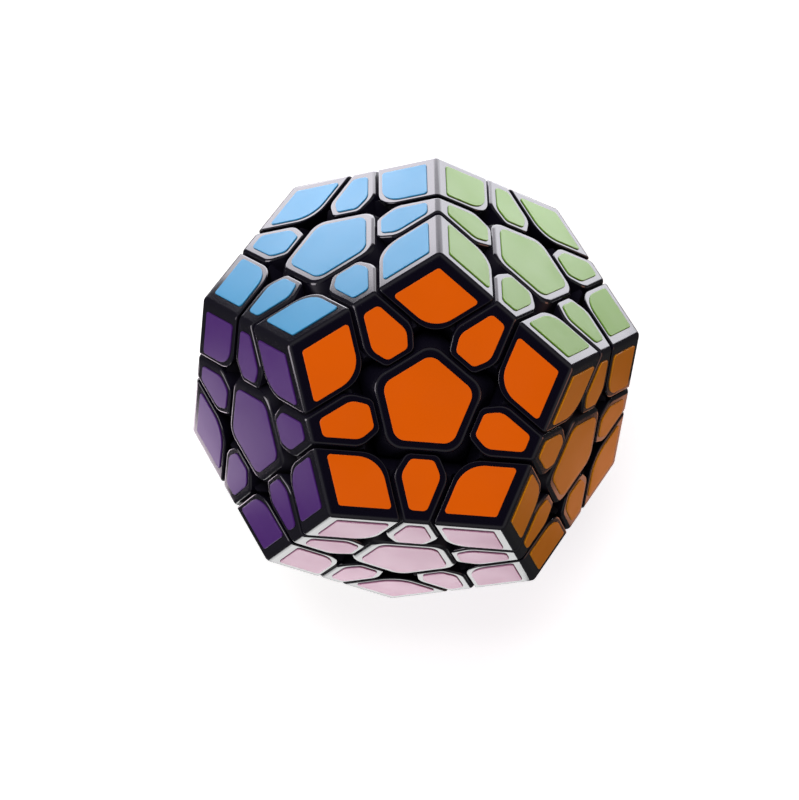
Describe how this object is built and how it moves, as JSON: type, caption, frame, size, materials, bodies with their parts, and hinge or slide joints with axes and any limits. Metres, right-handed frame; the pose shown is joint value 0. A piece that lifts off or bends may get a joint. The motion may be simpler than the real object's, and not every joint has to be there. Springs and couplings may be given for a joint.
{
  "type": "dodecahedron twisty puzzle",
  "caption": "Dodecahedron layer puzzle: a core that carries centres, edges and corners in black plastic with coloured stickers, whose face layers turn.",
  "frame": {"origin": "middle of the puzzle, where all the turning axes meet", "axes": "+Z along the turning axis of the orange face, which is on top; -Z through the face that the puzzle rests on; +Y towards the corner column between light blue and light green"},
  "size_m": [0.0778, 0.0818, 0.0668],
  "materials": {
    "black_plastic": "gloss",
    "core_plastic": "satin",
    "screw_steel": "satin",
    "sticker_orange": "satin",
    "sticker_light_green": "satin",
    "sticker_light_blue": "satin",
    "sticker_purple": "satin",
    "sticker_pink": "satin",
    "sticker_yellow": "satin",
    "sticker_dark_green": "satin",
    "sticker_dark_blue": "satin",
    "sticker_white": "satin",
    "sticker_grey": "satin",
    "sticker_cream": "satin",
    "sticker_red": "satin"
  },
  "bodies": {
    "core": {"core": "core_plastic", "screws_and_springs": "screw_steel", "centre_red": "black_plastic"},
    "centre_orange": {"centre_orange": "black_plastic"},
    "centre_light_green": {"centre_light_green": "black_plastic"},
    "centre_light_blue": {"centre_light_blue": "black_plastic"},
    "centre_purple": {"centre_purple": "black_plastic"},
    "centre_pink": {"centre_pink": "black_plastic"},
    "centre_yellow": {"centre_yellow": "black_plastic"},
    "centre_dark_green": {"centre_dark_green_with_edge_dark_green_red": "black_plastic"},
    "centre_dark_blue": {"centre_dark_blue_with_edge_dark_blue_red": "black_plastic"},
    "centre_white": {"centre_white_with_edge_white_red": "black_plastic"},
    "centre_grey": {"centre_grey_with_edge_grey_red": "black_plastic"},
    "centre_cream": {"centre_cream_with_edge_cream_red": "black_plastic"},
    "edge_orange_light_green": {"edge_orange_light_green": "black_plastic"},
    "edge_orange_light_blue": {"edge_orange_light_blue": "black_plastic"},
    "edge_orange_purple": {"edge_orange_purple": "black_plastic"},
    "edge_orange_pink": {"edge_orange_pink": "black_plastic"},
    "edge_orange_yellow": {"edge_orange_yellow": "black_plastic"},
    "edge_light_green_light_blue": {"edge_light_green_light_blue": "black_plastic"},
    "edge_light_green_yellow": {"edge_light_green_yellow": "black_plastic"},
    "edge_light_green_white": {"edge_light_green_white": "black_plastic"},
    "edge_light_green_grey": {"edge_light_green_grey": "black_plastic"},
    "edge_light_blue_purple": {"edge_light_blue_purple": "black_plastic"},
    "edge_light_blue_grey": {"edge_light_blue_grey": "black_plastic"},
    "edge_light_blue_cream": {"edge_light_blue_cream": "black_plastic"},
    "edge_purple_pink": {"edge_purple_pink": "black_plastic"},
    "edge_purple_dark_green": {"edge_purple_dark_green": "black_plastic"},
    "edge_purple_cream": {"edge_purple_cream": "black_plastic"},
    "edge_pink_yellow": {"edge_pink_yellow": "black_plastic"},
    "edge_pink_dark_green": {"edge_pink_dark_green": "black_plastic"},
    "edge_pink_dark_blue": {"edge_pink_dark_blue": "black_plastic"},
    "edge_yellow_dark_blue": {"edge_yellow_dark_blue": "black_plastic"},
    "edge_yellow_white": {"edge_yellow_white": "black_plastic"},
    "edge_dark_green_dark_blue": {"edge_dark_green_dark_blue": "black_plastic", "corner_dark_green_dark_blue_red": "black_plastic"},
    "edge_dark_green_cream": {"edge_dark_green_cream": "black_plastic", "corner_dark_green_cream_red": "black_plastic"},
    "edge_dark_blue_white": {"edge_dark_blue_white": "black_plastic", "corner_dark_blue_white_red": "black_plastic"},
    "edge_white_grey": {"edge_white_grey": "black_plastic", "corner_white_grey_red": "black_plastic"},
    "edge_grey_cream": {"edge_grey_cream": "black_plastic", "corner_grey_cream_red": "black_plastic"},
    "corner_orange_light_green_light_blue": {"corner_orange_light_green_light_blue": "black_plastic"},
    "corner_orange_light_green_yellow": {"corner_orange_light_green_yellow": "black_plastic"},
    "corner_orange_light_blue_purple": {"corner_orange_light_blue_purple": "black_plastic"},
    "corner_orange_purple_pink": {"corner_orange_purple_pink": "black_plastic"},
    "corner_orange_pink_yellow": {"corner_orange_pink_yellow": "black_plastic"},
    "corner_light_green_light_blue_grey": {"corner_light_green_light_blue_grey": "black_plastic"},
    "corner_light_green_yellow_white": {"corner_light_green_yellow_white": "black_plastic"},
    "corner_light_green_white_grey": {"corner_light_green_white_grey": "black_plastic"},
    "corner_light_blue_purple_cream": {"corner_light_blue_purple_cream": "black_plastic"},
    "corner_light_blue_grey_cream": {"corner_light_blue_grey_cream": "black_plastic"},
    "corner_purple_pink_dark_green": {"corner_purple_pink_dark_green": "black_plastic"},
    "corner_purple_dark_green_cream": {"corner_purple_dark_green_cream": "black_plastic"},
    "corner_pink_yellow_dark_blue": {"corner_pink_yellow_dark_blue": "black_plastic"},
    "corner_pink_dark_green_dark_blue": {"corner_pink_dark_green_dark_blue": "black_plastic"},
    "corner_yellow_dark_blue_white": {"corner_yellow_dark_blue_white": "black_plastic"}
  },
  "joints": [
    {"name": "turn_orange", "type": "hinge", "parent": "core", "child": "centre_orange", "pos_m": [0, 0, 0], "axis": [0, 0, 1], "continuous": true},
    {"name": "turn_light_green", "type": "hinge", "parent": "core", "child": "centre_light_green", "pos_m": [0, 0, 0], "axis": [0.5257, 0.7236, 0.4472], "range_deg": [-360, 360]},
    {"name": "turn_light_blue", "type": "hinge", "parent": "core", "child": "centre_light_blue", "pos_m": [0, 0, 0], "axis": [-0.5257, 0.7236, 0.4472], "range_deg": [-360, 360]},
    {"name": "turn_purple", "type": "hinge", "parent": "core", "child": "centre_purple", "pos_m": [0, 0, 0], "axis": [-0.8507, -0.2764, 0.4472], "range_deg": [-360, 360]},
    {"name": "turn_pink", "type": "hinge", "parent": "core", "child": "centre_pink", "pos_m": [0, 0, 0], "axis": [0, -0.8944, 0.4472], "range_deg": [-360, 360]},
    {"name": "turn_yellow", "type": "hinge", "parent": "core", "child": "centre_yellow", "pos_m": [0, 0, 0], "axis": [0.8507, -0.2764, 0.4472], "range_deg": [-360, 360]},
    {"name": "turn_dark_green", "type": "hinge", "parent": "core", "child": "centre_dark_green", "pos_m": [0, 0, 0], "axis": [-0.5257, -0.7236, -0.4472], "range_deg": [-360, 360]},
    {"name": "turn_dark_blue", "type": "hinge", "parent": "core", "child": "centre_dark_blue", "pos_m": [0, 0, 0], "axis": [0.5257, -0.7236, -0.4472], "continuous": true},
    {"name": "turn_white", "type": "hinge", "parent": "core", "child": "centre_white", "pos_m": [0, 0, 0], "axis": [0.8507, 0.2764, -0.4472], "range_deg": [-360, 360]},
    {"name": "turn_grey", "type": "hinge", "parent": "core", "child": "centre_grey", "pos_m": [0, 0, 0], "axis": [0, 0.8944, -0.4472], "range_deg": [-360, 360]},
    {"name": "turn_cream", "type": "hinge", "parent": "core", "child": "centre_cream", "pos_m": [0, 0, 0], "axis": [-0.8507, 0.2764, -0.4472], "continuous": true},
    {"name": "edge_orange_light_green_about_light_green", "type": "hinge", "parent": "centre_orange", "child": "edge_orange_light_green", "pos_m": [0, 0, 0], "axis": [0.5257, 0.7236, 0.4472], "range_deg": [-360, 360]},
    {"name": "edge_orange_light_blue_about_light_blue", "type": "hinge", "parent": "centre_orange", "child": "edge_orange_light_blue", "pos_m": [0, 0, 0], "axis": [-0.5257, 0.7236, 0.4472], "range_deg": [-360, 360]},
    {"name": "edge_orange_purple_about_purple", "type": "hinge", "parent": "centre_orange", "child": "edge_orange_purple", "pos_m": [0, 0, 0], "axis": [-0.8507, -0.2764, 0.4472], "range_deg": [-360, 360]},
    {"name": "edge_orange_pink_about_pink", "type": "hinge", "parent": "centre_orange", "child": "edge_orange_pink", "pos_m": [0, 0, 0], "axis": [0, -0.8944, 0.4472], "range_deg": [-360, 360]},
    {"name": "edge_orange_yellow_about_yellow", "type": "hinge", "parent": "centre_orange", "child": "edge_orange_yellow", "pos_m": [0, 0, 0], "axis": [0.8507, -0.2764, 0.4472], "range_deg": [-360, 360]},
    {"name": "edge_light_green_light_blue_about_light_blue", "type": "hinge", "parent": "centre_light_green", "child": "edge_light_green_light_blue", "pos_m": [0, 0, 0], "axis": [-0.5257, 0.7236, 0.4472], "range_deg": [-360, 360]},
    {"name": "edge_light_green_yellow_about_yellow", "type": "hinge", "parent": "centre_light_green", "child": "edge_light_green_yellow", "pos_m": [0, 0, 0], "axis": [0.8507, -0.2764, 0.4472], "range_deg": [-360, 360]},
    {"name": "edge_light_green_white_about_white", "type": "hinge", "parent": "centre_light_green", "child": "edge_light_green_white", "pos_m": [0, 0, 0], "axis": [0.8507, 0.2764, -0.4472], "range_deg": [-360, 360]},
    {"name": "edge_light_green_grey_about_grey", "type": "hinge", "parent": "centre_light_green", "child": "edge_light_green_grey", "pos_m": [0, 0, 0], "axis": [0, 0.8944, -0.4472], "range_deg": [-360, 360]},
    {"name": "edge_light_blue_purple_about_purple", "type": "hinge", "parent": "centre_light_blue", "child": "edge_light_blue_purple", "pos_m": [0, 0, 0], "axis": [-0.8507, -0.2764, 0.4472], "range_deg": [-360, 360]},
    {"name": "edge_light_blue_grey_about_grey", "type": "hinge", "parent": "centre_light_blue", "child": "edge_light_blue_grey", "pos_m": [0, 0, 0], "axis": [0, 0.8944, -0.4472], "range_deg": [-360, 360]},
    {"name": "edge_light_blue_cream_about_cream", "type": "hinge", "parent": "centre_light_blue", "child": "edge_light_blue_cream", "pos_m": [0, 0, 0], "axis": [-0.8507, 0.2764, -0.4472], "continuous": true},
    {"name": "edge_purple_pink_about_pink", "type": "hinge", "parent": "centre_purple", "child": "edge_purple_pink", "pos_m": [0, 0, 0], "axis": [0, -0.8944, 0.4472], "range_deg": [-360, 360]},
    {"name": "edge_purple_dark_green_about_dark_green", "type": "hinge", "parent": "centre_purple", "child": "edge_purple_dark_green", "pos_m": [0, 0, 0], "axis": [-0.5257, -0.7236, -0.4472], "range_deg": [-360, 360]},
    {"name": "edge_purple_cream_about_cream", "type": "hinge", "parent": "centre_purple", "child": "edge_purple_cream", "pos_m": [0, 0, 0], "axis": [-0.8507, 0.2764, -0.4472], "continuous": true},
    {"name": "edge_pink_yellow_about_yellow", "type": "hinge", "parent": "centre_pink", "child": "edge_pink_yellow", "pos_m": [0, 0, 0], "axis": [0.8507, -0.2764, 0.4472], "range_deg": [-360, 360]},
    {"name": "edge_pink_dark_green_about_dark_green", "type": "hinge", "parent": "centre_pink", "child": "edge_pink_dark_green", "pos_m": [0, 0, 0], "axis": [-0.5257, -0.7236, -0.4472], "range_deg": [-360, 360]},
    {"name": "edge_pink_dark_blue_about_dark_blue", "type": "hinge", "parent": "centre_pink", "child": "edge_pink_dark_blue", "pos_m": [0, 0, 0], "axis": [0.5257, -0.7236, -0.4472], "continuous": true},
    {"name": "edge_yellow_dark_blue_about_dark_blue", "type": "hinge", "parent": "centre_yellow", "child": "edge_yellow_dark_blue", "pos_m": [0, 0, 0], "axis": [0.5257, -0.7236, -0.4472], "continuous": true},
    {"name": "edge_yellow_white_about_white", "type": "hinge", "parent": "centre_yellow", "child": "edge_yellow_white", "pos_m": [0, 0, 0], "axis": [0.8507, 0.2764, -0.4472], "range_deg": [-360, 360]},
    {"name": "edge_dark_green_dark_blue_about_dark_blue", "type": "hinge", "parent": "centre_dark_green", "child": "edge_dark_green_dark_blue", "pos_m": [0, 0, 0], "axis": [0.5257, -0.7236, -0.4472], "continuous": true},
    {"name": "edge_dark_green_cream_about_cream", "type": "hinge", "parent": "centre_dark_green", "child": "edge_dark_green_cream", "pos_m": [0, 0, 0], "axis": [-0.8507, 0.2764, -0.4472], "continuous": true},
    {"name": "edge_dark_blue_white_about_white", "type": "hinge", "parent": "centre_dark_blue", "child": "edge_dark_blue_white", "pos_m": [0, 0, 0], "axis": [0.8507, 0.2764, -0.4472], "range_deg": [-360, 360]},
    {"name": "edge_white_grey_about_grey", "type": "hinge", "parent": "centre_white", "child": "edge_white_grey", "pos_m": [0, 0, 0], "axis": [0, 0.8944, -0.4472], "range_deg": [-360, 360]},
    {"name": "edge_grey_cream_about_cream", "type": "hinge", "parent": "centre_grey", "child": "edge_grey_cream", "pos_m": [0, 0, 0], "axis": [-0.8507, 0.2764, -0.4472], "continuous": true},
    {"name": "corner_orange_light_green_light_blue_about_light_blue", "type": "hinge", "parent": "edge_orange_light_green", "child": "corner_orange_light_green_light_blue", "pos_m": [0, 0, 0], "axis": [-0.5257, 0.7236, 0.4472], "range_deg": [-360, 360]},
    {"name": "corner_orange_light_green_yellow_about_yellow", "type": "hinge", "parent": "edge_orange_light_green", "child": "corner_orange_light_green_yellow", "pos_m": [0, 0, 0], "axis": [0.8507, -0.2764, 0.4472], "range_deg": [-360, 360]},
    {"name": "corner_orange_light_blue_purple_about_purple", "type": "hinge", "parent": "edge_orange_light_blue", "child": "corner_orange_light_blue_purple", "pos_m": [0, 0, 0], "axis": [-0.8507, -0.2764, 0.4472], "range_deg": [-360, 360]},
    {"name": "corner_orange_purple_pink_about_pink", "type": "hinge", "parent": "edge_orange_purple", "child": "corner_orange_purple_pink", "pos_m": [0, 0, 0], "axis": [0, -0.8944, 0.4472], "range_deg": [-360, 360]},
    {"name": "corner_orange_pink_yellow_about_yellow", "type": "hinge", "parent": "edge_orange_pink", "child": "corner_orange_pink_yellow", "pos_m": [0, 0, 0], "axis": [0.8507, -0.2764, 0.4472], "range_deg": [-360, 360]},
    {"name": "corner_light_green_light_blue_grey_about_grey", "type": "hinge", "parent": "edge_light_green_light_blue", "child": "corner_light_green_light_blue_grey", "pos_m": [0, 0, 0], "axis": [0, 0.8944, -0.4472], "range_deg": [-360, 360]},
    {"name": "corner_light_green_yellow_white_about_white", "type": "hinge", "parent": "edge_light_green_yellow", "child": "corner_light_green_yellow_white", "pos_m": [0, 0, 0], "axis": [0.8507, 0.2764, -0.4472], "range_deg": [-360, 360]},
    {"name": "corner_light_green_white_grey_about_grey", "type": "hinge", "parent": "edge_light_green_white", "child": "corner_light_green_white_grey", "pos_m": [0, 0, 0], "axis": [0, 0.8944, -0.4472], "range_deg": [-360, 360]},
    {"name": "corner_light_blue_purple_cream_about_cream", "type": "hinge", "parent": "edge_light_blue_purple", "child": "corner_light_blue_purple_cream", "pos_m": [0, 0, 0], "axis": [-0.8507, 0.2764, -0.4472], "continuous": true},
    {"name": "corner_light_blue_grey_cream_about_cream", "type": "hinge", "parent": "edge_light_blue_grey", "child": "corner_light_blue_grey_cream", "pos_m": [0, 0, 0], "axis": [-0.8507, 0.2764, -0.4472], "continuous": true},
    {"name": "corner_purple_pink_dark_green_about_dark_green", "type": "hinge", "parent": "edge_purple_pink", "child": "corner_purple_pink_dark_green", "pos_m": [0, 0, 0], "axis": [-0.5257, -0.7236, -0.4472], "range_deg": [-360, 360]},
    {"name": "corner_purple_dark_green_cream_about_cream", "type": "hinge", "parent": "edge_purple_dark_green", "child": "corner_purple_dark_green_cream", "pos_m": [0, 0, 0], "axis": [-0.8507, 0.2764, -0.4472], "continuous": true},
    {"name": "corner_pink_yellow_dark_blue_about_dark_blue", "type": "hinge", "parent": "edge_pink_yellow", "child": "corner_pink_yellow_dark_blue", "pos_m": [0, 0, 0], "axis": [0.5257, -0.7236, -0.4472], "continuous": true},
    {"name": "corner_pink_dark_green_dark_blue_about_dark_blue", "type": "hinge", "parent": "edge_pink_dark_green", "child": "corner_pink_dark_green_dark_blue", "pos_m": [0, 0, 0], "axis": [0.5257, -0.7236, -0.4472], "continuous": true},
    {"name": "corner_yellow_dark_blue_white_about_white", "type": "hinge", "parent": "edge_yellow_dark_blue", "child": "corner_yellow_dark_blue_white", "pos_m": [0, 0, 0], "axis": [0.8507, 0.2764, -0.4472], "range_deg": [-360, 360]}
  ],
  "couplings": [
    {"joint": "edge_orange_light_green_about_light_green", "follows": "turn_light_green", "ratio": 1},
    {"joint": "edge_orange_light_blue_about_light_blue", "follows": "turn_light_blue", "ratio": 1},
    {"joint": "edge_orange_purple_about_purple", "follows": "turn_purple", "ratio": 1},
    {"joint": "edge_orange_pink_about_pink", "follows": "turn_pink", "ratio": 1},
    {"joint": "edge_orange_yellow_about_yellow", "follows": "turn_yellow", "ratio": 1},
    {"joint": "edge_light_green_light_blue_about_light_blue", "follows": "turn_light_blue", "ratio": 1},
    {"joint": "edge_light_green_yellow_about_yellow", "follows": "turn_yellow", "ratio": 1},
    {"joint": "edge_light_green_white_about_white", "follows": "turn_white", "ratio": 1},
    {"joint": "edge_light_green_grey_about_grey", "follows": "turn_grey", "ratio": 1},
    {"joint": "edge_light_blue_purple_about_purple", "follows": "turn_purple", "ratio": 1},
    {"joint": "edge_light_blue_grey_about_grey", "follows": "turn_grey", "ratio": 1},
    {"joint": "edge_light_blue_cream_about_cream", "follows": "turn_cream", "ratio": 1},
    {"joint": "edge_purple_pink_about_pink", "follows": "turn_pink", "ratio": 1},
    {"joint": "edge_purple_dark_green_about_dark_green", "follows": "turn_dark_green", "ratio": 1},
    {"joint": "edge_purple_cream_about_cream", "follows": "turn_cream", "ratio": 1},
    {"joint": "edge_pink_yellow_about_yellow", "follows": "turn_yellow", "ratio": 1},
    {"joint": "edge_pink_dark_green_about_dark_green", "follows": "turn_dark_green", "ratio": 1},
    {"joint": "edge_pink_dark_blue_about_dark_blue", "follows": "turn_dark_blue", "ratio": 1},
    {"joint": "edge_yellow_dark_blue_about_dark_blue", "follows": "turn_dark_blue", "ratio": 1},
    {"joint": "edge_yellow_white_about_white", "follows": "turn_white", "ratio": 1},
    {"joint": "edge_dark_green_dark_blue_about_dark_blue", "follows": "turn_dark_blue", "ratio": 1},
    {"joint": "edge_dark_green_cream_about_cream", "follows": "turn_cream", "ratio": 1},
    {"joint": "edge_dark_blue_white_about_white", "follows": "turn_white", "ratio": 1},
    {"joint": "edge_white_grey_about_grey", "follows": "turn_grey", "ratio": 1},
    {"joint": "edge_grey_cream_about_cream", "follows": "turn_cream", "ratio": 1},
    {"joint": "corner_orange_light_green_light_blue_about_light_blue", "follows": "turn_light_blue", "ratio": 1},
    {"joint": "corner_orange_light_green_yellow_about_yellow", "follows": "turn_yellow", "ratio": 1},
    {"joint": "corner_orange_light_blue_purple_about_purple", "follows": "turn_purple", "ratio": 1},
    {"joint": "corner_orange_purple_pink_about_pink", "follows": "turn_pink", "ratio": 1},
    {"joint": "corner_orange_pink_yellow_about_yellow", "follows": "turn_yellow", "ratio": 1},
    {"joint": "corner_light_green_light_blue_grey_about_grey", "follows": "turn_grey", "ratio": 1},
    {"joint": "corner_light_green_yellow_white_about_white", "follows": "turn_white", "ratio": 1},
    {"joint": "corner_light_green_white_grey_about_grey", "follows": "turn_grey", "ratio": 1},
    {"joint": "corner_light_blue_purple_cream_about_cream", "follows": "turn_cream", "ratio": 1},
    {"joint": "corner_light_blue_grey_cream_about_cream", "follows": "turn_cream", "ratio": 1},
    {"joint": "corner_purple_pink_dark_green_about_dark_green", "follows": "turn_dark_green", "ratio": 1},
    {"joint": "corner_purple_dark_green_cream_about_cream", "follows": "turn_cream", "ratio": 1},
    {"joint": "corner_pink_yellow_dark_blue_about_dark_blue", "follows": "turn_dark_blue", "ratio": 1},
    {"joint": "corner_pink_dark_green_dark_blue_about_dark_blue", "follows": "turn_dark_blue", "ratio": 1},
    {"joint": "corner_yellow_dark_blue_white_about_white", "follows": "turn_white", "ratio": 1}
  ]
}
